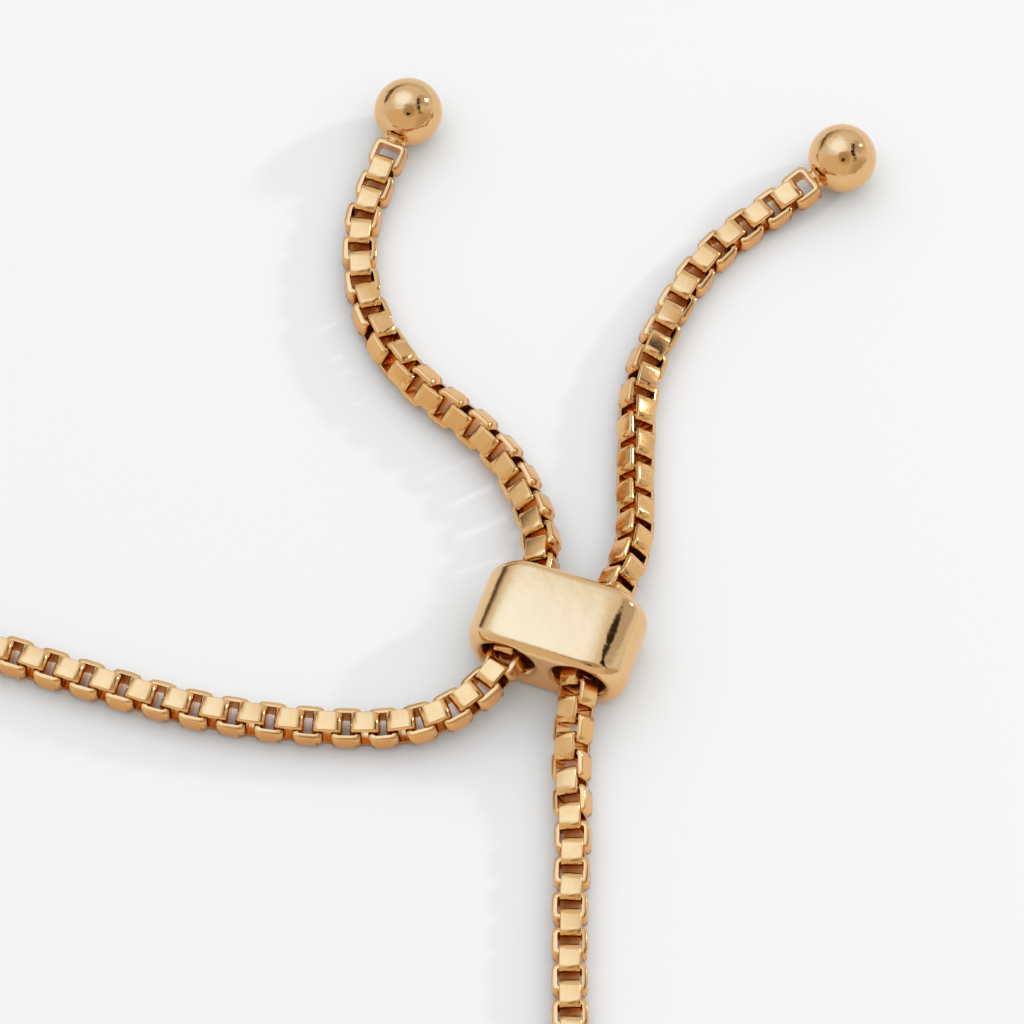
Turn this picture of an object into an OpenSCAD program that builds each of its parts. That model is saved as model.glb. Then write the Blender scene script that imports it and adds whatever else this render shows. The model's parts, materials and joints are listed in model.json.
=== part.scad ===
// Sliding bolo bracelet: one round box chain, whose two ends pass side by side through a
// slider bead and end in polished balls. It lies on a flat surface, as it would by itself.
// Millimetres, +Z up. The origin is the centre of the slider's underside.

/* [Slider] */
// Width of the slider across its two bores
slider_w = 9.35; // [9:0.05:9.6]
// Depth of the slider along its bores
slider_d = 5.3; // [5:0.1:5.8]
// Height of the slider
slider_h = 4.9; // [4.7:0.1:5.2]
// Distance between the two bores
bore_spacing = 4.2; // [4:0.05:4.3]
// Height of the bores' lines above the slider's underside
bore_rise = 2.6; // [2.4:0.05:2.7]
// Diameter of each bore
bore_dia = 3.05; // [2.95:0.05:3.1]
// How far each mouth widens beyond its bore
mouth_flare = 0.2; // [0.1:0.01:0.25]
// Radius of the slider's long shoulders
shoulder_r = 2.2; // [1.6:0.05:2.3]
// Radius of the slider's front and back edges
end_edge_r = 0.5; // [0.3:0.05:0.7]
// Radius of the slider's upright corners
corner_r = 1.6; // [1:0.05:1.8]
// Turn of the slider as it lies, in degrees
slider_turn = -19.4; // [-21:0.1:-18]

/* [Chain] */
// Length of one link along the chain
link_len = 1.71; // [1.69:0.01:1.74]
// Outer height of one link across the chain
link_h = 2.0; // [1.96:0.01:2.06]
// Width of the strip that a link is bent from
strip_w = 1.05; // [0.98:0.01:1.08]
// Thickness of that strip
strip_t = 0.22; // [0.2:0.005:0.24]
// Outer radius of a link's bends
link_bend_r = 0.42; // [0.3:0.01:0.5]
// Spacing of the links along the chain
link_pitch = 1.07; // [1.05:0.005:1.08]

/* [End balls] */
// Diameter of each end ball
ball_dia = 4.0; // [3.8:0.1:4.2]
// Diameter of the soldered neck between a ball and its last link
neck_dia = 1.5; // [1.2:0.1:1.8]
// Distance from a ball's centre to the middle of its last link
ball_reach = 3.0; // [2.9:0.05:3.1]

/* [Hidden] */
round_fn = 48;
gold = [0.84, 0.64, 0.35];
pale_gold = [0.93, 0.80, 0.55];

// Slider places, worked out in its own turned frame: u across the bores, v along them
function turned(u, v) = [
    u * cos(slider_turn) - v * sin(slider_turn),
    u * sin(slider_turn) + v * cos(slider_turn)];
function in_bore(side, off, v, z, roll, pull) =
    concat(turned(side * bore_spacing / 2 + off, v), [z, roll, pull]);

// The chain's route from the left ball to the right one. Each row is x, y, z of the chain's
// middle, its roll about its own line in degrees, and how far its links are pulled apart.
chain_z = link_h / 2;
left_tail = [
    [ -8.55, 33.7, 2.1, 0, 1],
    [ -9.85, 31.1, 1.4, 0, 1],
    [-10.55, 29.3, 1.08, 0, 1],
    [-11.25, 27.1, 1.0, 0, 1],
    [-11.45, 24.3, 1.0, 0, 1],
    [-11.05, 21.7, 1.0, 5, 1],
    [-10.15, 19.4, 1.0, 18, 1],
    [ -8.65, 17.1, 1.05, 34, 1],
    [ -6.85, 15.3, 1.1, 46, 1],
    [ -4.85, 13.6, 1.1, 53, 1],
    [ -3.15, 11.7, 1.1, 56, 1],
    [ -1.9,   9.4, 1.2, 58, 1],
    [ -1.15,  7.1, 1.6, 60, 1],
    [ -0.9,   5.0, 2.1, 62, 0.98]];
left_lower = [
    [ -3.45, -2.55, 2.2, 80, 0.95],
    [ -4.7,  -3.8, 1.95, 86, 0.94],
    [ -6.25, -4.75, 1.65, 90, 0.94],
    [ -8.0,  -5.3, 1.35, 90, 0.95],
    [-10.0,  -5.45, 1.1, 90, 0.97],
    [-12.1,  -5.4, 1.0, 90, 1],
    [-16.4,  -5.0, 1.0, 90, 1],
    [-20.7,  -4.2, 1.0, 90, 1],
    [-24.8,  -3.0, 1.0, 90, 1],
    [-28.8,  -1.7, 1.0, 90, 1]];
right_lower = [
    [  0.6, -20.7, 1.0, 90, 1],
    [  0.65, -16.2, 1.0, 90, 1],
    [  0.8, -13.2, 1.0, 94, 1],
    [  0.8, -10.2, 1.12, 109, 1],
    [  0.75, -7.8, 1.25, 119, 1],
    [  0.85, -5.9, 1.65, 126, 1],
    [  1.05, -4.3, 2.1, 130, 0.97]];
right_tail = [
    [  3.5,   3.3, 2.15, 136, 0.97],
    [  4.15,  5.2, 1.75, 137, 1],
    [  4.45,  7.3, 1.35, 138, 1],
    [  4.45,  9.7, 1.1, 139, 1],
    [  4.55, 12.7, 1.1, 142, 1],
    [  4.65, 15.1, 1.1, 147, 1],
    [  5.15, 17.5, 1.05, 156, 1],
    [  6.25, 20.2, 1.0, 168, 1],
    [  7.65, 22.8, 1.0, 176, 1],
    [  9.4,  25.1, 1.0, 180, 1],
    [ 11.6,  27.0, 1.03, 180, 1],
    [ 14.25, 28.9, 1.45, 180, 0.96],
    [ 16.65, 30.7, 2.12, 180, 0.96]];

// The hidden part of the loop: two arcs on the surface and the straight run between them
loop_r = 16.85;
loop_left = [-36.85, -16.75];
loop_right = [-16.25, -24.7];
loop_join = atan2(loop_right.y - loop_left.y, loop_right.x - loop_left.x) - 90;
function arc(centre, from, to, parts) = [for (k = [0:parts])
    let (a = from + (to - from) * k / parts)
    [centre.x + loop_r * cos(a), centre.y + loop_r * sin(a), chain_z, 90, 1]];
loop_start = arc(loop_left, 72, 360 + loop_join, 10);
loop_end = arc(loop_right, loop_join, 0, 6);
loop_straight = [for (k = [1:4]) let (from = loop_start[10], to = loop_end[0])
    from + (to - from) * k / 5];

route = concat(
    left_tail,
    [in_bore(-1, -0.08, 2.0, 2.4, 64, 0.95),
     in_bore(-1, 0.08, 0, 2.45, 68, 0.94),
     in_bore(-1, -0.05, -2.0, 2.4, 74, 0.94)],
    left_lower,
    loop_start,
    loop_straight,
    loop_end,
    right_lower,
    [in_bore(1, -0.05, -2.0, 2.38, 133, 0.95),
     in_bore(1, 0, 0, 2.45, 134, 0.93),
     in_bore(1, 0.05, 2.0, 2.4, 135, 0.94)],
    right_tail);

// A smooth curve through the route's rows, as short straight steps
steps = 10;
last = len(route) - 1;
function place(row) = [row[0], row[1], row[2]];
function gap(i) = norm(place(route[i + 1]) - place(route[i]));
function slope(i) =
    i == 0 ? (route[1] - route[0]) / gap(0) :
    i == last ? (route[last] - route[last - 1]) / gap(last - 1) :
    let (a = gap(i - 1), b = gap(i))
    ((route[i + 1] - route[i]) / b * a + (route[i] - route[i - 1]) / a * b) / (a + b);
function between(i, t) =
    let (g = gap(i), t2 = t * t, t3 = t2 * t)
    route[i] * (2 * t3 - 3 * t2 + 1) + slope(i) * g * (t3 - 2 * t2 + t) +
    route[i + 1] * (3 * t2 - 2 * t3) + slope(i + 1) * g * (t3 - t2);
curve = concat([for (i = [0:last - 1]) for (k = [0:steps - 1]) between(i, k / steps)], [route[last]]);
run = [for (i = 0, s = 0; i < len(curve);
    s = s + (i + 1 < len(curve) ? norm(place(curve[i + 1]) - place(curve[i])) : 0), i = i + 1) s];
table_x = [for (i = [0:len(curve) - 1]) [run[i], curve[i][0]]];
table_y = [for (i = [0:len(curve) - 1]) [run[i], curve[i][1]]];
table_z = [for (i = [0:len(curve) - 1]) [run[i], curve[i][2]]];
table_roll = [for (i = [0:len(curve) - 1]) [run[i], curve[i][3]]];
// Half the chain's height at a roll, which keeps its lowest corners on the surface
function rest_z(roll) = let (r = abs((roll + 45) % 90 - 45))
    0.015 + (link_h * cos(r) + strip_w * sin(r)) / 2;
function spot(s) = [lookup(s, table_x), lookup(s, table_y),
    max(lookup(s, table_z), rest_z(lookup(s, table_roll)))];

// The run counted in link spacings, so that links pulled less far apart sit closer together
count = [for (i = 0, n = 0; i < len(curve);
    n = n + (i + 1 < len(curve) ? (run[i + 1] - run[i]) / (link_pitch * curve[i][4]) : 0), i = i + 1) n];
table_count = [for (i = [0:len(curve) - 1]) [run[i], count[i]]];
table_run = [for (i = [0:len(curve) - 1]) [count[i], run[i]]];

// Links: number 0 and the last one are soldered to the balls, and the last number is even
run_end = run[len(run) - 1];
first_count = lookup(ball_reach, table_count);
count_len = lookup(run_end - ball_reach, table_count) - first_count;
link_last = 2 * round(count_len / 2);
link_half = link_last / 2;
function link_run(i) = lookup(first_count + i * count_len / link_last, table_run);
echo(links = link_last + 1, stretch = count_len / link_last, chain = run_end);

// Moves its children to a place on the route, with X along the chain
module on_route(s) {
    ahead = spot(s + link_pitch / 2) - spot(s - link_pitch / 2);
    flat = norm([ahead.x, ahead.y]);
    translate(spot(s))
        rotate([0, -atan2(ahead.z, flat), atan2(ahead.y, ahead.x)])
            rotate([-lookup(s, table_roll), 0, 0])
                children();
}

module rounded_rect(size, r) {
    square([size.x - 2 * r, size.y], center = true);
    square([size.x, size.y - 2 * r], center = true);
    for (x = [-1, 1], y = [-1, 1])
        translate([x * (size.x / 2 - r), y * (size.y / 2 - r)]) circle(r, $fn = round_fn);
}

// One link: a strip bent to a ring, lying flat about Z
module link_ring() {
    linear_extrude(strip_w, center = true)
        difference() {
            rounded_rect([link_len, link_h], link_bend_r);
            square([link_len - 2 * strip_t, link_h - 2 * strip_t], center = true);
        }
}

module link(i) {
    on_route(link_run(i)) rotate([i % 2 == 0 ? 0 : 90, 0, 0]) link_ring();
}

module chain_left() {
    color(gold) for (i = [1:link_half - 1]) link(i);
}

module chain_right() {
    color(gold) for (i = [link_half:link_last - 1]) link(i);
}

// A ball with its neck and its last link, all soldered; toward is -1 or 1 along the route
module end_ball(i, toward) {
    color(gold) {
        link(i);
        on_route(link_run(i)) {
            translate([toward * ball_reach, 0, 0]) sphere(ball_dia / 2, $fn = 2 * round_fn);
            translate([toward * (link_len - strip_t) / 2, 0, 0])
                rotate([0, toward * 90, 0])
                    cylinder(h = ball_reach - (link_len - strip_t) / 2, d = neck_dia, $fn = round_fn);
        }
    }
}

module end_ball_left() {
    end_ball(0, -1);
}

module end_ball_right() {
    end_ball(link_last, 1);
}

// The slider before its bores: a block with round shoulders, edges and upright corners
module slider_blank() {
    intersection() {
        linear_extrude(slider_h) rounded_rect([slider_w, slider_d], corner_r);
        translate([0, 0, slider_h / 2]) rotate([90, 0, 0])
            linear_extrude(slider_d, center = true) rounded_rect([slider_w, slider_h], shoulder_r);
        translate([0, 0, slider_h / 2]) rotate([90, 0, 90])
            linear_extrude(slider_w, center = true) rounded_rect([slider_d, slider_h], end_edge_r);
    }
}

module slider_bore() {
    rotate([90, 0, 0]) cylinder(d = bore_dia, h = slider_d + 1, center = true, $fn = round_fn);
    for (side = [-1, 1])
        translate([0, side * slider_d / 2, 0]) rotate([side * 90, 0, 0])
            cylinder(h = 2 * mouth_flare, d1 = bore_dia + 2 * mouth_flare, d2 = bore_dia - 2 * mouth_flare,
                $fn = round_fn);
}

module slider() {
    color(pale_gold) rotate([0, 0, slider_turn])
        difference() {
            slider_blank();
            for (side = [-1, 1]) translate([side * bore_spacing / 2, 0, bore_rise]) slider_bore();
        }
}

slider();
chain_left();
chain_right();
end_ball_left();
end_ball_right();
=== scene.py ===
"""Dresses the sliding bolo bracelet: polished gold links, slider bead and end balls in soft studio light.

Lengths are millimetres while a piece is shaped, and its mesh is brought to metres at the end.
"""

import json
import logging
import math
from dataclasses import dataclass
from enum import Enum

import bpy
import numpy as np
from mathutils import Matrix, Vector

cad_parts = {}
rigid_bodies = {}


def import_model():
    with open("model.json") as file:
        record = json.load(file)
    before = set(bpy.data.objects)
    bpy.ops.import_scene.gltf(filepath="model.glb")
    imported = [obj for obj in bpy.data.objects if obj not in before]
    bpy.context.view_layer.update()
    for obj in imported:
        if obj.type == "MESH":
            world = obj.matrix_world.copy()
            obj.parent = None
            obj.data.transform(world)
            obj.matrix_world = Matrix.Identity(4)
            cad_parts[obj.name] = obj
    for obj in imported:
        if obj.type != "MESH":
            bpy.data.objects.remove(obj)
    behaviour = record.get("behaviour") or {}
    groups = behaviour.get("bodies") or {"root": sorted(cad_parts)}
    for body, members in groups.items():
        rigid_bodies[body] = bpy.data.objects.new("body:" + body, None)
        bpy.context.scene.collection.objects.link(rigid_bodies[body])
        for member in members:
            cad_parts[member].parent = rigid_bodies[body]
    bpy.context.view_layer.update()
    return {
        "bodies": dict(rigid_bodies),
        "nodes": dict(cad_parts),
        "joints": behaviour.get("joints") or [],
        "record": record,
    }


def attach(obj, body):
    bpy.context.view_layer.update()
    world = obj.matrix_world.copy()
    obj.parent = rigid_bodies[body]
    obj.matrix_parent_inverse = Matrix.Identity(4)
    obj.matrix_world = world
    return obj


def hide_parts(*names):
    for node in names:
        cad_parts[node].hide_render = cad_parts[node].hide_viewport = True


MM = 0.001
BODY = "root"
LOG = logging.getLogger("bracelet")

Colour = tuple[float, float, float]
Span = tuple[float, float]
Triple = tuple[float, float, float]


class Slot(Enum):
    """The record's material slots for the three golds, which the script doesn't use."""

    SLIDER = "slider_gold"
    CHAIN = "chain_gold"
    BALL = "ball_gold"


# Mesh helpers

WELD_DECIMALS = 4
FLAT_FACE_WEIGHT = 60


def read_rows(items: object, name: str, width: int, kind: type = float) -> np.ndarray:
    """Reads one property of all of a mesh's points, edges or faces.

    Args:
        items: the mesh's collection, such as its vertices.
        name: the property's name.
        width: how many numbers the property has.
        kind: the numbers' type.

    Returns:
        One row for each item.
    """
    flat = np.zeros(len(items) * width, dtype=kind)
    items.foreach_get(name, flat)
    return flat.reshape(-1, width)


def merged_mesh(node: bpy.types.Object) -> tuple[np.ndarray, np.ndarray]:
    """Reads a CAD node's loose triangles as one welded mesh.

    Args:
        node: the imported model's mesh object.

    Returns:
        Corner points in millimetres, one row each, and the triangles as rows of three indices.
    """
    mesh = node.data
    mesh.calc_loop_triangles()
    points = read_rows(mesh.vertices, "co", 3) / MM
    corners = read_rows(mesh.loop_triangles, "vertices", 3, np.int64)
    keys = np.round(points, WELD_DECIMALS)
    _, first, welded = np.unique(keys, axis=0, return_index=True, return_inverse=True)
    return points[first], welded.reshape(-1)[corners]


def loose_parts(point_count: int, triangles: np.ndarray) -> list[np.ndarray]:
    """Sorts triangles into the separate solids that they close.

    Args:
        point_count: number of corner points.
        triangles: rows of three indices.

    Returns:
        One array of triangles for each solid, in the order of their first points.
    """
    label = np.arange(point_count)
    while True:
        lowest = label[triangles].min(axis=1)
        new = label.copy()
        for corner in range(3):
            np.minimum.at(new, triangles[:, corner], lowest)
        new = new[new]
        if np.array_equal(new, label):
            break
        label = new
    owner = label[triangles[:, 0]]
    return [triangles[owner == name] for name in np.unique(owner)]


def volume_moments(points: np.ndarray, triangles: np.ndarray) -> tuple[np.ndarray, np.ndarray]:
    """Works out where a closed solid lies and how it is spread.

    Each triangle closes a tetrahedron with one inner point. A tetrahedron's volume is a sixth of the
    triple product of its sides, its centre a quarter of their sum, and its spread a twentieth of
    their outer products.

    Args:
        points: corner points.
        triangles: the solid's triangles, facing outwards.

    Returns:
        The centre of volume, and the 3 by 3 covariance about it.
    """
    a, b, c = (points[triangles[:, k]] for k in range(3))
    origin = a.mean(axis=0)
    a, b, c = a - origin, b - origin, c - origin
    volume = np.einsum("ij,ij->i", a, np.cross(b, c)) / 6
    total = volume.sum()
    corner_sum = a + b + c
    middle = (volume[:, None] * corner_sum / 4).sum(axis=0) / total
    outer = np.einsum("ni,nj->nij", corner_sum, corner_sum)
    for corner in (a, b, c):
        outer += np.einsum("ni,nj->nij", corner, corner)
    spread = (volume[:, None, None] * outer / 20).sum(axis=0) / total - np.outer(middle, middle)
    return middle + origin, spread


def mesh_from(name: str, points: np.ndarray, faces: list) -> bpy.types.Mesh:
    """Makes a mesh in metres from points in millimetres.

    Args:
        name: the mesh's name.
        points: rows of x, y, z.
        faces: index lists.

    Returns:
        The new mesh, with smooth faces.
    """
    mesh = bpy.data.meshes.new(name)
    mesh.from_pydata((np.asarray(points) * MM).tolist(), [], [list(map(int, f)) for f in faces])
    mesh.shade_smooth()
    mesh.validate()
    return mesh


def add_object(name: str, data: bpy.types.ID) -> bpy.types.Object:
    """Puts a mesh, a lamp or a camera in the scene at the origin.

    Args:
        name: the object's name.
        data: what it holds.

    Returns:
        The new object.
    """
    made = bpy.data.objects.new(name, data)
    bpy.context.scene.collection.objects.link(made)
    return made


def baked(piece: bpy.types.Object) -> bpy.types.Object:
    """Turns a piece's modifiers into a plain mesh.

    Args:
        piece: an object with live modifiers.

    Returns:
        The same object, with the result as its own mesh and no modifiers.
    """
    evaluated = piece.evaluated_get(bpy.context.evaluated_depsgraph_get())
    mesh = bpy.data.meshes.new_from_object(evaluated)
    old = piece.data
    piece.modifiers.clear()
    piece.data = mesh
    mesh.name = piece.name
    bpy.data.meshes.remove(old)
    return piece


def flatten_shading(piece: bpy.types.Object) -> None:
    """Lets large faces shade flat and leaves the curve to the small ones between them.

    Args:
        piece: a piece with smooth faces.
    """
    soften = piece.modifiers.new("flat_faces", "WEIGHTED_NORMAL")
    soften.keep_sharp = True
    soften.weight = FLAT_FACE_WEIGHT
    baked(piece)


# Node helpers

# Where the Mix node keeps its colours, which share their names with its numbers and vectors
MIX_SHARE, MIX_FIRST, MIX_SECOND, MIX_RESULT = 0, 6, 7, 2


@dataclass
class Tree:
    """A small wrapper that adds and links nodes by plain calls."""

    tree: bpy.types.NodeTree

    def add(self, kind: str, **settings: object) -> bpy.types.Node:
        """Adds a node.

        Args:
            kind: Blender's name of the node's type.
            settings: the node's properties.

        Returns:
            The node.
        """
        node = self.tree.nodes.new(kind)
        for key, value in settings.items():
            setattr(node, key, value)
        return node

    def feed(self, socket: bpy.types.NodeSocket, value: object) -> None:
        """Links a socket to another one, or sets its value.

        Args:
            socket: the input.
            value: an output, or what the input's own value becomes.
        """
        if isinstance(value, bpy.types.NodeSocket):
            self.tree.links.new(value, socket)
        else:
            socket.default_value = value

    def math(self, operation: str, *values: object, clamp: bool = False) -> bpy.types.NodeSocket:
        """Adds a Math node.

        Args:
            operation: Blender's name of the operation.
            values: sockets or numbers for its inputs.
            clamp: keeps the result from 0 to 1.

        Returns:
            Its result.
        """
        node = self.add("ShaderNodeMath", operation=operation, use_clamp=clamp)
        for socket, value in zip(node.inputs, values):
            self.feed(socket, value)
        return node.outputs[0]

    def ramp(self, value: object, start: float, end: float,
             low: float = 0.0, high: float = 1.0) -> bpy.types.NodeSocket:
        """Adds a smooth step.

        Args:
            value: what the step reads.
            start: the value where the step begins.
            end: the value where it is done, above or below start.
            low: the result before the step.
            high: the result after it.

        Returns:
            Its result.
        """
        node = self.add("ShaderNodeMapRange", interpolation_type="SMOOTHSTEP")
        for socket, item in zip(node.inputs, (value, start, end, low, high)):
            self.feed(socket, item)
        return node.outputs[0]

    def mix(self, share: object, first: object, second: object) -> bpy.types.NodeSocket:
        """Adds a mix of two colours.

        Args:
            share: the second colour's share.
            first: a socket, or red, green and blue.
            second: the same.

        Returns:
            The mixed colour.
        """
        node = self.add("ShaderNodeMix", data_type="RGBA")
        self.feed(node.inputs[MIX_SHARE], share)
        for place, colour in ((MIX_FIRST, first), (MIX_SECOND, second)):
            linked = isinstance(colour, bpy.types.NodeSocket)
            self.feed(node.inputs[place], colour if linked else (*colour, 1.0))
        return node.outputs[MIX_RESULT]

    def noise(self, vector: object, scale: float, detail: float,
              roughness: float = 0.5) -> bpy.types.NodeSocket:
        """Adds a noise texture.

        Args:
            vector: the place that it reads.
            scale: how fine it is.
            detail: its number of octaves.
            roughness: the finer octaves' share.

        Returns:
            Its factor.
        """
        node = self.add("ShaderNodeTexNoise")
        self.feed(node.inputs["Vector"], vector)
        self.feed(node.inputs["Scale"], scale)
        self.feed(node.inputs["Detail"], detail)
        self.feed(node.inputs["Roughness"], roughness)
        return node.outputs[0]


# Finishes

# The share of painted dark reflection that darkens some links picked at random
PAINTED_DARK_REFLECTION = "painted_dark_reflection"


@dataclass(frozen=True)
class GoldFinish:
    """A plated gold surface: its colour, how polished it is, and its small faults.

    The colour is that of faces that look up. Deep is the tone in the noise's clouds and on some
    links picked at random: partly a tone that varies across the metal, partly painted dark
    reflection. Side is a painted tone of reflection and shade: faces that turn sideways or down
    are a darker orange, which stands in for the warm floor and gold that they mirror. Scales are
    for coordinates in metres, and the ripple is the height of the waves in millimetres.
    """

    name: str
    colour: Colour
    deep_and_dark_reflection: Colour
    painted_side_tone: Colour
    roughness: float
    rough_spread: float
    mottle_scale: float
    mottle_and_dark_reflection: float
    ripple_scale: float
    ripple: float
    painted_dark_reflection: float = 0.0
    cloud_step: Span = (0.35, 0.75)
    cloud_detail: float = 4.0
    painted_side_step: Span = (0.55, -0.1)
    grain_step: Span = (0.3, 0.7)
    grain_fineness: float = 2.7
    grain_detail: float = 5.0
    grain_roughness: float = 0.6
    ripple_detail: float = 2.0

    def material(self) -> bpy.types.Material:
        """Builds the finish as a procedural material.

        Returns:
            The material, which reads the piece's own coordinates.
        """
        made = bpy.data.materials.new(self.name)
        made.use_nodes = True
        made.node_tree.nodes.clear()
        t = Tree(made.node_tree)
        shader = t.add("ShaderNodeBsdfPrincipled")
        shader.inputs["Metallic"].default_value = 1.0
        out = t.add("ShaderNodeOutputMaterial")
        t.feed(out.inputs["Surface"], shader.outputs[0])
        source = t.add("ShaderNodeTexCoord")
        place = source.outputs["Object"]
        t.feed(shader.inputs["Base Color"], self.tone(t, place, source.outputs["Normal"]))
        grain = t.noise(place, self.mottle_scale * self.grain_fineness, self.grain_detail,
                        self.grain_roughness)
        t.feed(shader.inputs["Roughness"],
               t.ramp(grain, *self.grain_step, self.roughness, self.roughness + self.rough_spread))
        bump = t.add("ShaderNodeBump")
        bump.inputs["Distance"].default_value = self.ripple * MM
        t.feed(bump.inputs["Height"], t.noise(place, self.ripple_scale, self.ripple_detail))
        t.feed(shader.inputs["Normal"], bump.outputs[0])
        return made

    def tone(self, t: Tree, place: bpy.types.NodeSocket,
             normal: bpy.types.NodeSocket) -> bpy.types.NodeSocket:
        """Mixes the gold's three tones: its colour, its darker tone and its painted sideways tone.

        Args:
            t: the material's tree.
            place: the piece's own coordinates.
            normal: the way that the face looks, which sets the painted sideways tone.

        Returns:
            The colour.
        """
        # Noise clouds: partly a tone that varies across the metal, partly painted dark reflection
        cloud = t.ramp(t.noise(place, self.mottle_scale, self.cloud_detail), *self.cloud_step)
        share = t.math("MULTIPLY", cloud, self.mottle_and_dark_reflection)
        # Some links picked at random are darker: painted dark reflection
        if self.painted_dark_reflection > 0:
            darker_link = t.add("ShaderNodeAttribute", attribute_name=PAINTED_DARK_REFLECTION).outputs["Fac"]
            share = t.math("ADD", share, t.math("MULTIPLY", darker_link, self.painted_dark_reflection), clamp=True)
        facing = t.add("ShaderNodeSeparateXYZ")
        t.feed(facing.inputs[0], normal)
        top = t.mix(share, self.colour, self.deep_and_dark_reflection)
        # Faces that turn sideways or down take a painted tone of reflection and shade
        return t.mix(t.ramp(facing.outputs["Z"], *self.painted_side_step), top, self.painted_side_tone)


SLIDER_POLISH = GoldFinish(
    name="slider_polished_gold",
    colour=(0.80, 0.54, 0.27),
    deep_and_dark_reflection=(0.77, 0.50, 0.23),
    painted_side_tone=(0.81, 0.47, 0.185),
    roughness=0.07,
    rough_spread=0.04,
    mottle_scale=900.0,
    mottle_and_dark_reflection=0.4,
    ripple_scale=900.0,
    ripple=0.03,
)

TUMBLED_LINKS = GoldFinish(
    name="chain_tumbled_gold",
    colour=(0.815, 0.505, 0.22),
    deep_and_dark_reflection=(0.77, 0.42, 0.14),
    painted_side_tone=(0.83, 0.40, 0.10),
    roughness=0.12,
    rough_spread=0.09,
    mottle_scale=1500.0,
    mottle_and_dark_reflection=0.4,
    ripple_scale=1400.0,
    ripple=0.005,
    painted_dark_reflection=0.3,
)

BRIGHT_BALLS = GoldFinish(
    name="ball_bright_gold",
    colour=(0.79, 0.505, 0.235),
    deep_and_dark_reflection=(0.75, 0.445, 0.18),
    painted_side_tone=(0.79, 0.465, 0.19),
    roughness=0.06,
    rough_spread=0.05,
    mottle_scale=1500.0,
    mottle_and_dark_reflection=0.4,
    ripple_scale=2200.0,
    ripple=0.026,
)

# The bores' more orange colour is painted glow, standing in for light bounced inside them
SATIN_BORES_PAINTED_GLOW = GoldFinish(
    name="bore_satin_gold",
    colour=(0.82, 0.48, 0.18),
    deep_and_dark_reflection=(0.66, 0.33, 0.10),
    painted_side_tone=(0.80, 0.42, 0.13),
    roughness=0.28,
    rough_spread=0.10,
    mottle_scale=1500.0,
    mottle_and_dark_reflection=0.5,
    ripple_scale=2500.0,
    ripple=0.01,
)


# The link that the chain repeats

SECTION_POINTS = 6
INNER_POINTS = {0, 1}


@dataclass(frozen=True)
class BoxLink:
    """One link: a strip bent round into a square ring, in the ring's own frame.

    The ring's axis is Z, X runs along the chain, and Y runs across it. Each bend has its reach along
    X and along Y. A bend power of 1 makes it part of an ellipse, and less makes it squarer. Edge is how
    far the strip's outer edges are cut back.
    """

    length: float = 1.71
    height: float = 2.0
    strip_width: float = 1.20
    strip_thickness: float = 0.30
    outer_bend: Span = (0.49, 0.42)
    inner_bend: Span = (0.20, 0.20)
    edge: float = 0.07
    bend_points: int = 4
    bend_power: float = 0.76

    def ring(self) -> tuple[np.ndarray, list[list[int]]]:
        """Sweeps the strip's section round the ring.

        Returns:
            Points in millimetres and quad faces.
        """
        half = np.array([self.length, self.height]) / 2
        outside = self.loop(half, self.outer_bend)
        inside = self.loop(half - self.strip_thickness, self.inner_bend)
        points = []
        for outer, inner in zip(outside, inside):
            points.extend(self.section(outer, inner))
        faces = []
        for station in range(len(outside)):
            here = station * SECTION_POINTS
            there = (station + 1) % len(outside) * SECTION_POINTS
            for j in range(SECTION_POINTS):
                nxt = (j + 1) % SECTION_POINTS
                faces.append([here + j, there + j, there + nxt, here + nxt])
        return np.array(points), faces

    def section(self, outer: np.ndarray, inner: np.ndarray) -> list[Triple]:
        """Cuts the strip across: two sharp inner points, and four that round its outer edges.

        Args:
            outer: where the cut leaves the ring's outside.
            inner: where it meets the ring's inside.

        Returns:
            The section's points.
        """
        top = self.strip_width / 2
        rim = outer + (inner - outer) / np.linalg.norm(inner - outer) * self.edge
        turned = ((inner, -top), (inner, top), (rim, top), (outer, top - self.edge),
                  (outer, self.edge - top), (rim, -top))
        return [(*place, up) for place, up in turned]

    def loop(self, half: np.ndarray, bend: Span) -> list[np.ndarray]:
        """Goes round a rectangle with bent corners, anticlockwise.

        Args:
            half: half its length and half its height.
            bend: how far each corner's bend reaches along both.

        Returns:
            The points of the four bends in turn.
        """
        # The corners in turn: right top, left top, left bottom and right bottom
        points = []
        for corner in range(4):
            signs = np.array([1 if corner in (0, 3) else -1, 1 if corner in (0, 1) else -1])
            middle = signs * (half - np.array(bend))
            for k in range(self.bend_points):
                angle = (corner + k / (self.bend_points - 1)) * math.pi / 2
                turn = np.array([math.cos(angle), math.sin(angle)])
                points.append(middle + np.sign(turn) * np.abs(turn) ** self.bend_power * bend)
        return points

    def sharpen(self, mesh: bpy.types.Mesh, start: int = 0) -> None:
        """Marks a ring's inner edges as sharp, so that its rims shade flat.

        Args:
            mesh: the mesh that holds the ring.
            start: the ring's first point in it.
        """
        for edge in mesh.edges:
            kinds = {(corner - start) % SECTION_POINTS for corner in edge.vertices}
            if min(edge.vertices) >= start and len(kinds) == 1 and kinds <= INNER_POINTS:
                edge.use_edge_sharp = True

    def template(self) -> bpy.types.Object:
        """Makes the single link that the chain's points carry.

        Returns:
            The link's object, which is removed when both chains are made.
        """
        mesh = mesh_from("link_template", *self.ring())
        self.sharpen(mesh)
        return add_object("link_template", mesh)


LINK_TURN = "link_turn"
SWAY_INPUT = "Sway"
# The seed of each link's sway and of its share of painted dark reflection
SEED_INPUT = "Wear seed"


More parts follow.
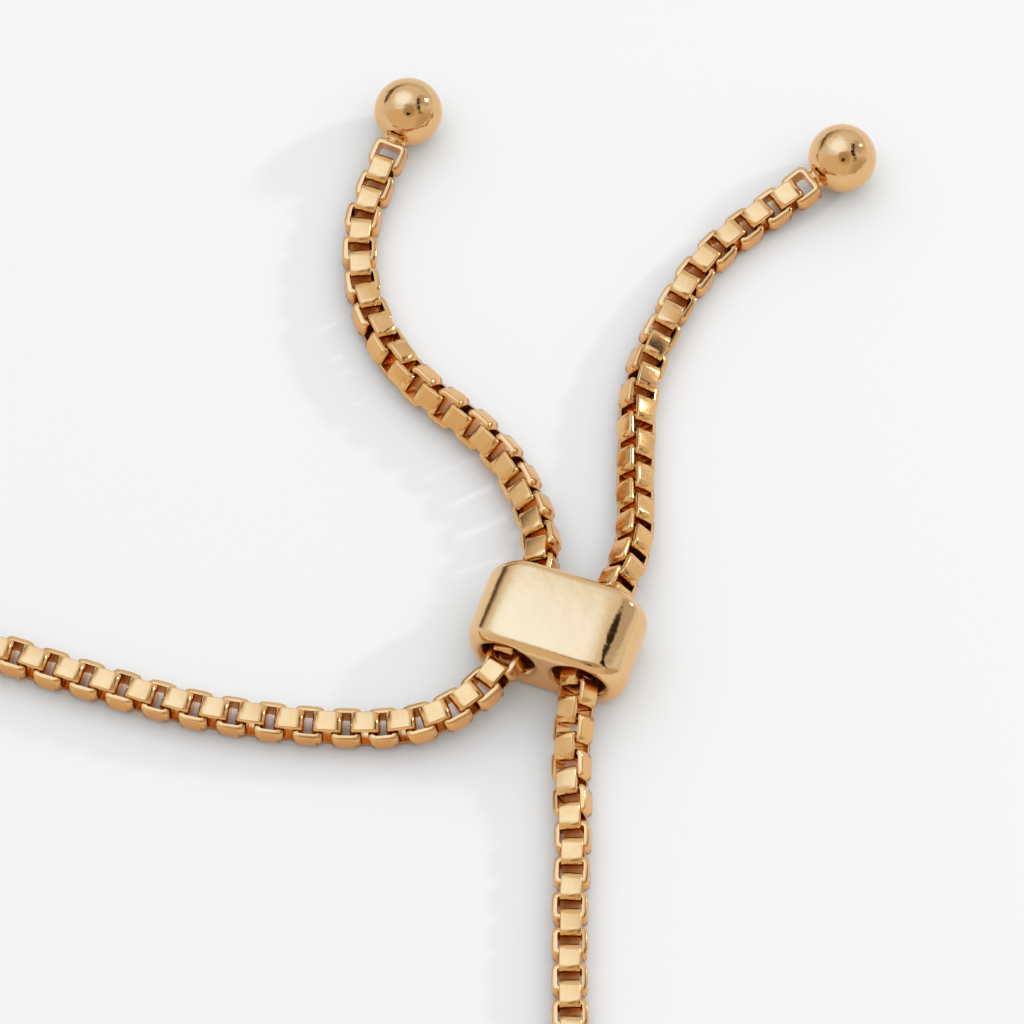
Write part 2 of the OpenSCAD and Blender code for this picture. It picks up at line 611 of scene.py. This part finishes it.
@dataclass
class BoxChain:
    """One half of the bracelet's chain, with a link on each solid of its CAD node.

    The sway is how far a link may tip from its solid's frame: round X, Y and Z, in radians.
    """

    node: str
    # Seeds each link's sway and its share of painted dark reflection
    sway_and_reflection_seed: int = 3
    sway: Triple = (0.07, 0.02, 0.01)

    def build(self, frame: dict, template: bpy.types.Object,
              finish: bpy.types.Material) -> bpy.types.Object:
        """Sets a ring on each link's place and joins them as one piece.

        Args:
            template: the single link's object.
            finish: the chain's material.

        Returns:
            The finished piece, riding on the body.
        """
        places = self.places(frame["nodes"][self.node])
        anchors = bpy.data.meshes.new(self.node + "_anchors")
        anchors.from_pydata([list(centre * MM) for centre, _ in places], [], [])
        turns = anchors.attributes.new(LINK_TURN, "FLOAT_VECTOR", "POINT")
        for item, (_, turn) in zip(turns.data, places):
            item.vector = turn.to_euler()
        piece = add_object("links_" + self.node, anchors)
        modifier = piece.modifiers.new("links", "NODES")
        modifier.node_group = self.tree(template, finish)
        for item in modifier.node_group.interface.items_tree:
            if item.name == SEED_INPUT:
                modifier[item.identifier] = self.sway_and_reflection_seed
            elif item.name == SWAY_INPUT:
                modifier[item.identifier] = self.sway
        baked(piece)
        flatten_shading(piece)
        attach(piece, BODY)
        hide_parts(self.node)
        LOG.info("%s: %d links, %d faces", piece.name, len(places), len(piece.data.polygons))
        return piece

    def places(self, node: bpy.types.Object) -> list[tuple[np.ndarray, Matrix]]:
        """Finds where each link of the CAD node lies.

        Args:
            node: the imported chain.

        Returns:
            Each link's centre in millimetres and its turn.
        """
        points, triangles = merged_mesh(node)
        found = []
        for part in loose_parts(len(points), triangles):
            centre, spread = volume_moments(points, part)
            found.append((centre, self.turn(spread)))
        return found

    def turn(self, spread: np.ndarray) -> Matrix:
        """Turns a link's frame: X runs along the chain, Y across it, and Z is the ring's axis.

        Args:
            spread: the link's covariance, least along the axis and most across the chain.

        Returns:
            A right-handed rotation.
        """
        _, axes = np.linalg.eigh(spread)
        axis, along, across = Vector(axes[:, 0]), Vector(axes[:, 1]), Vector(axes[:, 2])
        if along.cross(across).dot(axis) < 0:
            axis.negate()
        return Matrix((along, across, axis)).transposed()

    def tree(self, template: bpy.types.Object, finish: bpy.types.Material) -> bpy.types.NodeTree:
        """Builds the Geometry Nodes tree that sets the links on their points.

        Args:
            template: the single link's object.
            finish: the chain's material.

        Returns:
            The tree, which ends in realized links with their material.
        """
        tree = bpy.data.node_groups.new("chain_of_links", "GeometryNodeTree")
        face = tree.interface
        face.new_socket("Anchors", in_out="INPUT", socket_type="NodeSocketGeometry")
        face.new_socket(SEED_INPUT, in_out="INPUT", socket_type="NodeSocketInt")
        face.new_socket(SWAY_INPUT, in_out="INPUT", socket_type="NodeSocketVector")
        face.new_socket("Links", in_out="OUTPUT", socket_type="NodeSocketGeometry")
        t = Tree(tree)
        source, end = t.add("NodeGroupInput"), t.add("NodeGroupOutput")
        turn = t.add("GeometryNodeInputNamedAttribute", data_type="FLOAT_VECTOR")
        turn.inputs["Name"].default_value = LINK_TURN
        rotation = t.add("FunctionNodeEulerToRotation")
        t.feed(rotation.inputs[0], turn.outputs[0])
        link = t.add("GeometryNodeObjectInfo")
        link.inputs["Object"].default_value = template
        copies = t.add("GeometryNodeInstanceOnPoints")
        t.feed(copies.inputs["Points"], source.outputs["Anchors"])
        t.feed(copies.inputs["Instance"], link.outputs["Geometry"])
        t.feed(copies.inputs["Rotation"], rotation.outputs[0])
        other_way = t.add("ShaderNodeVectorMath", operation="SCALE")
        t.feed(other_way.inputs["Vector"], source.outputs[SWAY_INPUT])
        other_way.inputs["Scale"].default_value = -1.0
        sway = t.add("FunctionNodeRandomValue", data_type="FLOAT_VECTOR")
        t.feed(sway.inputs["Min"], other_way.outputs["Vector"])
        t.feed(sway.inputs["Max"], source.outputs[SWAY_INPUT])
        t.feed(sway.inputs["Seed"], source.outputs[SEED_INPUT])
        swayed = t.add("GeometryNodeRotateInstances")
        t.feed(swayed.inputs["Instances"], copies.outputs[0])
        t.feed(swayed.inputs["Rotation"], sway.outputs[0])
        # Each link's random share of painted dark reflection
        chance = t.add("FunctionNodeRandomValue", data_type="FLOAT")
        t.feed(chance.inputs["Seed"], source.outputs[SEED_INPUT])
        store = t.add("GeometryNodeStoreNamedAttribute", data_type="FLOAT", domain="INSTANCE")
        store.inputs["Name"].default_value = PAINTED_DARK_REFLECTION
        t.feed(store.inputs["Geometry"], swayed.outputs[0])
        t.feed(store.inputs["Value"], chance.outputs[1])
        realized = t.add("GeometryNodeRealizeInstances")
        t.feed(realized.inputs[0], store.outputs[0])
        dress = t.add("GeometryNodeSetMaterial")
        dress.inputs["Material"].default_value = finish
        t.feed(dress.inputs["Geometry"], realized.outputs[0])
        t.feed(end.inputs["Links"], dress.outputs[0])
        return tree


# The slider bead

# Settling: its rounds, how far a point goes to its neighbours' mean, and the steps back to the surface
SETTLE_ROUNDS = 8
SETTLE_SHARE = 0.5
SURFACE_STEPS = 2
SLOPE_STEP = 1e-4
TINY = 1e-9


@dataclass
class SliderBead:
    """The cushion-shaped bead with two bores, in its own turned frame: u across, v along, z up.

    The shoulder is how far each side's round reaches in and down, and the fullness its power: 2 is an
    ellipse, and more is squarer. The edges round both ends have the radius top_edge above and below,
    and corner at the sides.
    """

    node: str = "slider"
    width: float = 9.45
    depth: float = 5.6
    height: float = 4.9
    turn: float = math.radians(-19.4)
    shoulder: Span = (2.75, 2.2)
    fullness: float = 2.5
    top_edge: float = 0.6
    corner: float = 1.2
    crown: float = 0.16
    bore_spacing: float = 4.2
    bore_rise: float = 2.6
    bore_radius: float = 1.525
    bore_margin: float = 0.05
    lip: float = 0.45
    cell: float = 0.11

    def build(self, frame: dict, finish: bpy.types.Material,
              inside: bpy.types.Material) -> bpy.types.Object:
        """Makes the bead as one smooth closed surface.

        Args:
            finish: the slider's material.
            inside: the bores' material.

        Returns:
            The finished piece.
        """
        piece = self.even_block(frame["nodes"][self.node])
        mesh = piece.data
        edges = read_rows(mesh.edges, "vertices", 2, np.int64)
        settled = self.settle(read_rows(mesh.vertices, "co", 3), edges)
        mesh.vertices.foreach_set("co", (settled * MM).ravel())
        mesh.shade_smooth()
        mesh.normals_split_custom_set_from_vertices(self.normals(settled).tolist())
        mesh.update()
        self.dress(mesh, finish, inside)
        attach(piece, BODY)
        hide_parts(self.node)
        LOG.info("%s: %d faces", piece.name, len(mesh.polygons))
        return piece

    def even_block(self, node: bpy.types.Object) -> bpy.types.Object:
        """Gives the CAD slider small even faces.

        Args:
            node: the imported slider.

        Returns:
            The piece, with a Blender unit for each millimetre, because the remesh needs large cells.
        """
        points, triangles = merged_mesh(node)
        piece = add_object("slider_bead", mesh_from(self.node + "_block", points / MM, triangles))
        remesh = piece.modifiers.new("even_faces", "REMESH")
        remesh.mode = "VOXEL"
        remesh.voxel_size = self.cell
        return baked(piece)

    def dress(self, mesh: bpy.types.Mesh, finish: bpy.types.Material,
              inside: bpy.types.Material) -> None:
        """Gives the bead its polish, and the bores their own, whose more orange colour is painted glow.

        Args:
            mesh: the finished mesh.
            finish: the slider's material.
            inside: the bores' material.
        """
        mesh.materials.clear()
        mesh.materials.append(finish)
        mesh.materials.append(inside)
        centres = read_rows(mesh.polygons, "center", 3) / MM
        in_bore = self.from_bore(centres) < self.bore_radius + self.bore_margin
        mesh.polygons.foreach_set("material_index", in_bore.astype(np.int32))

    def settle(self, points: np.ndarray, edges: np.ndarray) -> np.ndarray:
        """Evens out the points and brings them onto the bead's surface.

        Args:
            points: start points near the surface.
            edges: pairs of neighbours.

        Returns:
            The points on the surface.
        """
        degree = np.bincount(edges.ravel(), minlength=len(points))[:, None]
        for _ in range(SETTLE_ROUNDS):
            around = np.zeros_like(points)
            np.add.at(around, edges[:, 0], points[edges[:, 1]])
            np.add.at(around, edges[:, 1], points[edges[:, 0]])
            points = points * (1 - SETTLE_SHARE) + around / degree * SETTLE_SHARE
            for _ in range(SURFACE_STEPS):
                slope = self.slope(points)
                steepness = (slope ** 2).sum(axis=1)[:, None]
                points = points - self.depth_below(points)[:, None] * slope / steepness
        return points

    def slope(self, points: np.ndarray) -> np.ndarray:
        """Works out the gradient of depth_below.

        Args:
            points: rows of x, y, z in millimetres.

        Returns:
            One row for each point.
        """
        found = np.zeros_like(points)
        for axis in range(3):
            offset = np.zeros(3)
            offset[axis] = SLOPE_STEP
            rise = self.depth_below(points + offset) - self.depth_below(points - offset)
            found[:, axis] = rise / (2 * SLOPE_STEP)
        return found

    def normals(self, points: np.ndarray) -> np.ndarray:
        """Gives the unit normals of the bead's surface."""
        slope = self.slope(points)
        return slope / np.linalg.norm(slope, axis=1)[:, None]

    def depth_below(self, points: np.ndarray) -> np.ndarray:
        """Gives about how far each point lies outside the bead, below 0 inside it.

        Args:
            points: rows of x, y, z in millimetres.

        Returns:
            One value for each point.
        """
        u, v = self.turned(points)
        up = points[:, 2] - self.height / 2
        crown = self.crown * ((u / (self.width / 2)) ** 2 + (v / (self.depth / 2)) ** 2)
        tall = np.abs(up) + np.where(up > 0, crown, 0.0)
        wide, high = self.shoulder
        qu = (u - (self.width / 2 - wide)) * high / wide
        qz = tall - (self.height / 2 - high)
        out_u, out_z = np.maximum(qu, 0), np.maximum(qz, 0)
        reach = (out_u ** self.fullness + out_z ** self.fullness) ** (1 / self.fullness)
        section = reach + np.minimum(np.maximum(qu, qz), 0) - high
        sideways = np.clip(out_u / np.maximum(reach, TINY), 0, 1)
        edge = self.top_edge + (self.corner - self.top_edge) * sideways ** 2
        block = rounded_meeting(section, np.abs(v) - self.depth / 2, edge)
        return rounded_meeting(block, self.bore_radius - self.from_bore(points), self.lip)

    def from_bore(self, points: np.ndarray) -> np.ndarray:
        """Gives each point's distance from the line of the nearer bore."""
        u, _ = self.turned(points)
        return np.hypot(u - self.bore_spacing / 2, points[:, 2] - self.bore_rise)

    def turned(self, points: np.ndarray) -> tuple[np.ndarray, np.ndarray]:
        """Reads points in the bead's frame.

        Args:
            points: rows of x, y, z in millimetres.

        Returns:
            How far each point lies to either side of the middle, and how far along the bores.
        """
        c, s = math.cos(self.turn), math.sin(self.turn)
        return np.abs(points[:, 0] * c + points[:, 1] * s), -points[:, 0] * s + points[:, 1] * c


def rounded_meeting(a: np.ndarray, b: np.ndarray, radius: object) -> np.ndarray:
    """Joins two distance fields where both hold, with their edge rounded.

    Args:
        a: first field.
        b: second field.
        radius: the edge's radius, one number or one for each point.

    Returns:
        The joined field.
    """
    outside = np.hypot(np.maximum(a + radius, 0), np.maximum(b + radius, 0))
    return np.minimum(-radius, np.maximum(a, b)) + outside


# The end balls


@dataclass
class EndBall:
    """A polished ball with its last link soldered to it by a short neck.

    The waist is how much the neck narrows, the bite how far it goes into the link's wall, and the
    reach how far the link's middle lies from the ball's. Within the solder's height over the ball, a
    point counts as the ball's when the link's frame is found.
    """

    node: str
    name: str
    link: BoxLink
    radius: float = 2.0
    neck_radius: float = 0.74
    waist: float = 0.12
    bite: float = 0.06
    solder: float = 0.3
    reach: float = 3.0
    around: int = 72
    ball_rows: int = 40
    neck_rows: int = 5

    def build(self, frame: dict, finish: bpy.types.Material,
              link_finish: bpy.types.Material) -> bpy.types.Object:
        """Turns the ball and its neck, and sets the last link at its end.

        Args:
            finish: the ball's material.
            link_finish: the chain's material.

        Returns:
            The finished piece.
        """
        centre, turn = self.place(frame["nodes"][self.node])
        points, ball_faces = self.turned_ball()
        ring_points, ring_faces = self.link.ring()
        ring_points = ring_points + np.array([self.reach, 0, 0])
        faces = ball_faces + [[i + len(points) for i in f] for f in ring_faces]
        local = np.vstack([points, ring_points])
        world = local @ np.array(turn.transposed()) + centre
        mesh = mesh_from(self.name, world, faces)
        mesh.materials.append(finish)
        mesh.materials.append(link_finish)
        for face in mesh.polygons[len(ball_faces):]:
            face.material_index = 1
        self.link.sharpen(mesh, len(points))
        piece = add_object(self.name, mesh)
        flatten_shading(piece)
        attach(piece, BODY)
        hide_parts(self.node)
        LOG.info("%s: %d faces", piece.name, len(piece.data.polygons))
        return piece

    def place(self, node: bpy.types.Object) -> tuple[np.ndarray, Matrix]:
        """Finds the ball's centre and the frame of its link.

        Each ball lies behind its link and to the right of it, so the node's back and right sides are
        the ball's.

        Args:
            node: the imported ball.

        Returns:
            The centre in millimetres, and a turn whose X points from the ball to the link.
        """
        points, triangles = merged_mesh(node)
        high, low = points.max(axis=0), points.min(axis=0)
        centre = np.array([high[0] - self.radius, high[1] - self.radius, (high[2] + low[2]) / 2])
        middle, _ = volume_moments(points, triangles)
        along = Vector(middle - centre).normalized()
        corners = points[np.linalg.norm(points - centre, axis=1) > self.radius + self.solder]
        ring_middle = centre + np.array(along) * self.reach
        away = corners - ring_middle
        away = away - np.outer(away @ np.array(along), np.array(along))
        _, axes = np.linalg.eigh(away.T @ away)
        axis = Vector(axes[:, 1])
        across = axis.cross(along).normalized()
        axis = along.cross(across)
        return centre, Matrix((along, across, axis)).transposed()

    def profile(self) -> list[Span]:
        """Draws half the outline of ball and neck.

        Returns:
            Pairs of x and radius, from the far pole, which is left out, to inside the link's wall.
        """
        sweep = math.pi - math.asin(self.neck_radius / self.radius)
        rows = []
        for k in range(1, self.ball_rows + 1):
            angle = math.pi - sweep * k / self.ball_rows
            rows.append((self.radius * math.cos(angle), self.radius * math.sin(angle)))
        start, wall = rows[-1][0], self.reach - self.link.length / 2 + self.bite
        for k in range(1, self.neck_rows + 1):
            share = k / self.neck_rows
            narrowed = self.neck_radius - self.waist * math.sin(math.pi * share)
            rows.append((start + (wall - start) * share, narrowed))
        return rows

    def turned_ball(self) -> tuple[np.ndarray, list[list[int]]]:
        """Turns the profile round X, and closes it at both ends.

        Returns:
            Points in millimetres and faces.
        """
        rows = self.profile()
        points = [(-self.radius, 0.0, 0.0)]
        for x, r in rows:
            for k in range(self.around):
                angle = 2 * math.pi * k / self.around
                points.append((x, r * math.cos(angle), r * math.sin(angle)))
        points.append((rows[-1][0], 0.0, 0.0))
        last = 1 + (len(rows) - 1) * self.around
        faces = []
        for k in range(self.around):
            nxt = (k + 1) % self.around
            faces.append([0, 1 + nxt, 1 + k])
            for row in range(len(rows) - 1):
                a, b = 1 + row * self.around + k, 1 + row * self.around + nxt
                faces.append([a, b, b + self.around, a + self.around])
            faces.append([last + k, last + nxt, len(points) - 1])
        return np.array(points), faces


# Studio


@dataclass(frozen=True)
class Patch:
    """A soft round patch of the light tent, lighter or darker than what lies round it.

    Its place is where an end ball shows it: right and up from the middle of the ball's disc, in radii.
    It is full within the inner angle and gone at the outer one, both in degrees.
    """

    place: Span
    outer: float
    inner: float
    colour: Colour
    strength: float = 1.0


@dataclass(frozen=True)
class Studio:
    """The pale floor, the light round it and the camera at the photograph's angle.

    The gold mirrors a tent with pale walls, a low dark seam at its back left, a cool panel overhead
    and a few dark things. The paper is lit by one broad soft patch overhead in a dim tent. A step
    gives the values where a smooth change starts and ends, and after them its results, if they aren't
    0 and 1.
    """

    elevation: float = math.radians(64)
    distance: float = 420.0
    target: Triple = (-2.6, 8.65, 0.0)
    focal: float = 257.5
    sensor: float = 36.0
    clip: Span = (10.0, 20000.0)
    floor_half: float = 900.0
    floor_drop: float = 0.02
    paper: Colour = (0.93, 0.93, 0.93)
    # Close to the gold the paper is painted this darker, cooler colour: painted shade
    paper_painted_shade_by_gold: Colour = (0.70, 0.88, 0.96)
    paper_roughness: float = 0.9
    paper_shine: float = 0.1
    # How far and how finely the paper looks for gold nearby, to place its painted shade
    painted_shade_reach: float = 6.0
    painted_shade_samples: int = 4
    key_way: Triple = (0.809, 0.436, 0.395)
    key_distance: float = 500.0
    key_size: float = 40.0
    key_energy: float = 0.46
    key_colour: Colour = (1.0, 0.97, 0.93)
    wall_back: Colour = (0.84, 0.86, 0.90)
    wall_front: Colour = (0.78, 0.69, 0.57)
    wall_step: Span = (0.05, -0.45)
    seam: Colour = (0.12, 0.08, 0.05)
    seam_foot: Span = (-0.02, 0.16)
    seam_head: Span = (0.50, 0.20)
    seam_left: tuple[float, float, float, float] = (0.1, -0.7, 0.2, 1.0)
    seam_back: Span = (0.15, 0.5)
    dim: Colour = (0.34, 0.34, 0.34)
    soft: Patch = Patch((0.03, 0.33), 66.0, 15.0, (1.485, 1.485, 1.485))
    panel: Patch = Patch((-0.15, 0.35), 38.0, 7.0, (1.19, 1.54, 2.28))
    # Each dark thing's place, outer and inner angle, colour, and strength if it isn't full
    dark: tuple[Patch, ...] = (
        Patch((0.50, -0.30), 40.0, 15.0, (0.50, 0.40, 0.28), 0.7),
        Patch((0.45, 0.33), 24.0, 13.0, (0.34, 0.25, 0.15), 0.55),
        Patch((0.05, 0.00), 27.0, 10.0, (0.42, 0.30, 0.19), 0.8),
        Patch((0.30, 0.31), 9.0, 5.0, (0.03, 0.02, 0.01)),
        Patch((0.29, 0.20), 9.0, 5.0, (0.03, 0.02, 0.01)),
        Patch((0.31, 0.08), 10.0, 5.0, (0.03, 0.02, 0.01), 0.95),
        Patch((0.35, -0.04), 9.0, 4.0, (0.12, 0.08, 0.04), 0.7),
        Patch((0.00, -0.07), 6.0, 4.0, (0.02, 0.01, 0.01)),
    )

    def build(self) -> None:
        """Sets up the camera, the floor and the light."""
        self.camera()
        self.floor()
        self.sky()
        self.key()
        bpy.context.scene.view_settings.view_transform = "Standard"

    def back(self) -> Vector:
        """Gives the way from the bracelet to the camera."""
        return Vector((0.0, -math.cos(self.elevation), math.sin(self.elevation)))

    def camera(self) -> bpy.types.Object:
        """Sets the camera at the photograph's angle.

        Returns:
            The camera.
        """
        data = bpy.data.cameras.new("camera")
        data.lens = self.focal
        data.sensor_width = self.sensor
        data.clip_start, data.clip_end = (limit * MM for limit in self.clip)
        made = add_object("camera", data)
        made.location = (Vector(self.target) + self.back() * self.distance) * MM
        made.rotation_euler = (-self.back()).to_track_quat("-Z", "Y").to_euler()
        bpy.context.scene.camera = made
        return made

    def floor(self) -> bpy.types.Object:
        """Lays the pale floor, whose painted shade keeps it neutral beside the gold's warm bounce.

        Returns:
            The floor.
        """
        h, z = self.floor_half, -self.floor_drop
        mesh = mesh_from("floor", [(-h, -h, z), (h, -h, z), (h, h, z), (-h, h, z)], [[0, 1, 2, 3]])
        mesh.materials.append(self.pale_paper())
        made = add_object("floor", mesh)
        return made

    def pale_paper(self) -> bpy.types.Material:
        """Makes the floor's matt paper, with painted shade close to the gold.

        Returns:
            The material, which the camera sees darker and cooler close to the gold: painted shade.
        """
        paper = bpy.data.materials.new("pale_paper")
        paper.use_nodes = True
        shader = paper.node_tree.nodes["Principled BSDF"]
        shader.inputs["Roughness"].default_value = self.paper_roughness
        shader.inputs["Specular IOR Level"].default_value = self.paper_shine
        t = Tree(paper.node_tree)
        # Painted shade: the camera sees the paper darker and cooler where gold is near
        open_sky = t.add("ShaderNodeAmbientOcclusion", samples=self.painted_shade_samples)
        open_sky.inputs["Distance"].default_value = self.painted_shade_reach * MM
        near = t.math("SUBTRACT", 1.0, open_sky.outputs["AO"])
        seen = t.add("ShaderNodeLightPath").outputs["Is Camera Ray"]
        share = t.math("MULTIPLY", near, seen)
        t.feed(shader.inputs["Base Color"], t.mix(share, self.paper, self.paper_painted_shade_by_gold))
        return paper

    def key(self) -> bpy.types.Object:
        """Hangs the small strong lamp at the back right, which throws the shadows to the left.

        Returns:
            The lamp.
        """
        data = bpy.data.lights.new("key", "AREA")
        data.shape = "DISK"
        data.size = self.key_size * MM
        data.energy = self.key_energy
        data.color = self.key_colour
        made = add_object("key", data)
        way = Vector(self.key_way).normalized()
        made.location = way * (self.key_distance * MM)
        made.rotation_euler = way.to_track_quat("Z", "Y").to_euler()
        return made

    def sky(self) -> None:
        """Paints the light tent: one view of it for mirroring gold, and a plainer one for paper."""
        world = bpy.data.worlds.new("light_tent")
        world.use_nodes = True
        world.node_tree.nodes.clear()
        bpy.context.scene.world = world
        t = Tree(world.node_tree)
        way = t.add("ShaderNodeTexCoord").outputs["Generated"]
        plain = t.mix(self.share_in(t, way, self.soft), self.dim, self.soft.colour)
        diffuse = t.add("ShaderNodeLightPath").outputs["Is Diffuse Ray"]
        back = t.add("ShaderNodeBackground")
        t.feed(back.inputs["Color"], t.mix(diffuse, self.tent(t, way), plain))
        out = t.add("ShaderNodeOutputWorld")
        t.feed(out.inputs["Surface"], back.outputs[0])

    def tent(self, t: Tree, way: bpy.types.NodeSocket) -> bpy.types.NodeSocket:
        """Paints what the gold mirrors: the walls, the seam, the panel and the dark things.

        Args:
            t: the world's tree.
            way: the direction looked at.

        Returns:
            The tent's colour.
        """
        split = t.add("ShaderNodeSeparateXYZ")
        t.feed(split.inputs[0], way)
        x, y, z = split.outputs
        light = t.mix(t.ramp(y, *self.wall_step), self.wall_back, self.wall_front)
        seam = t.ramp(z, *self.seam_foot)
        for value, step in ((z, self.seam_head), (x, self.seam_left), (y, self.seam_back)):
            seam = t.math("MULTIPLY", seam, t.ramp(value, *step))
        light = t.mix(seam, light, self.seam)
        light = t.mix(self.share_in(t, way, self.panel), light, self.panel.colour)
        for patch in self.dark:
            share = t.math("MULTIPLY", self.share_in(t, way, patch), patch.strength)
            light = t.mix(share, light, patch.colour)
        return light

    def share_in(self, t: Tree, way: bpy.types.NodeSocket, patch: Patch) -> bpy.types.NodeSocket:
        """Marks a patch of the tent.

        Args:
            t: the world's tree.
            way: the direction looked at.
            patch: the patch.

        Returns:
            1 in the patch and 0 outside.
        """
        dot = t.add("ShaderNodeVectorMath", operation="DOT_PRODUCT")
        t.feed(dot.inputs[0], way)
        dot.inputs[1].default_value = self.mirrored(patch.place)
        outer, inner = (math.cos(math.radians(angle)) for angle in (patch.outer, patch.inner))
        return t.ramp(dot.outputs["Value"], outer, inner)

    def mirrored(self, place: Span) -> Vector:
        """Gives the direction that a ball mirrors to the camera.

        Args:
            place: right and up from the middle of the ball's disc, in radii.

        Returns:
            A unit vector.
        """
        right = Vector((1.0, 0.0, 0.0))
        up = self.back().cross(right)
        facing = math.sqrt(1 - place[0] ** 2 - place[1] ** 2)
        normal = right * place[0] + up * place[1] + self.back() * facing
        return normal * (2 * facing) - self.back()


def main() -> None:
    """Builds the bracelet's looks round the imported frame."""
    logging.basicConfig(level=logging.INFO, format="%(name)s: %(message)s")
    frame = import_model()
    Studio().build()
    gold, ball_gold = TUMBLED_LINKS.material(), BRIGHT_BALLS.material()
    link = BoxLink()
    template = link.template()
    for node in ("chain_left", "chain_right"):
        BoxChain(node).build(frame, template, gold)
    bpy.data.objects.remove(template)
    SliderBead().build(frame, SLIDER_POLISH.material(), SATIN_BORES_PAINTED_GLOW.material())
    for node, name in (("end_ball_left", "ball_left"), ("end_ball_right", "ball_right")):
        EndBall(node, name, link).build(frame, ball_gold, gold)


if __name__ == "__main__":
    main()
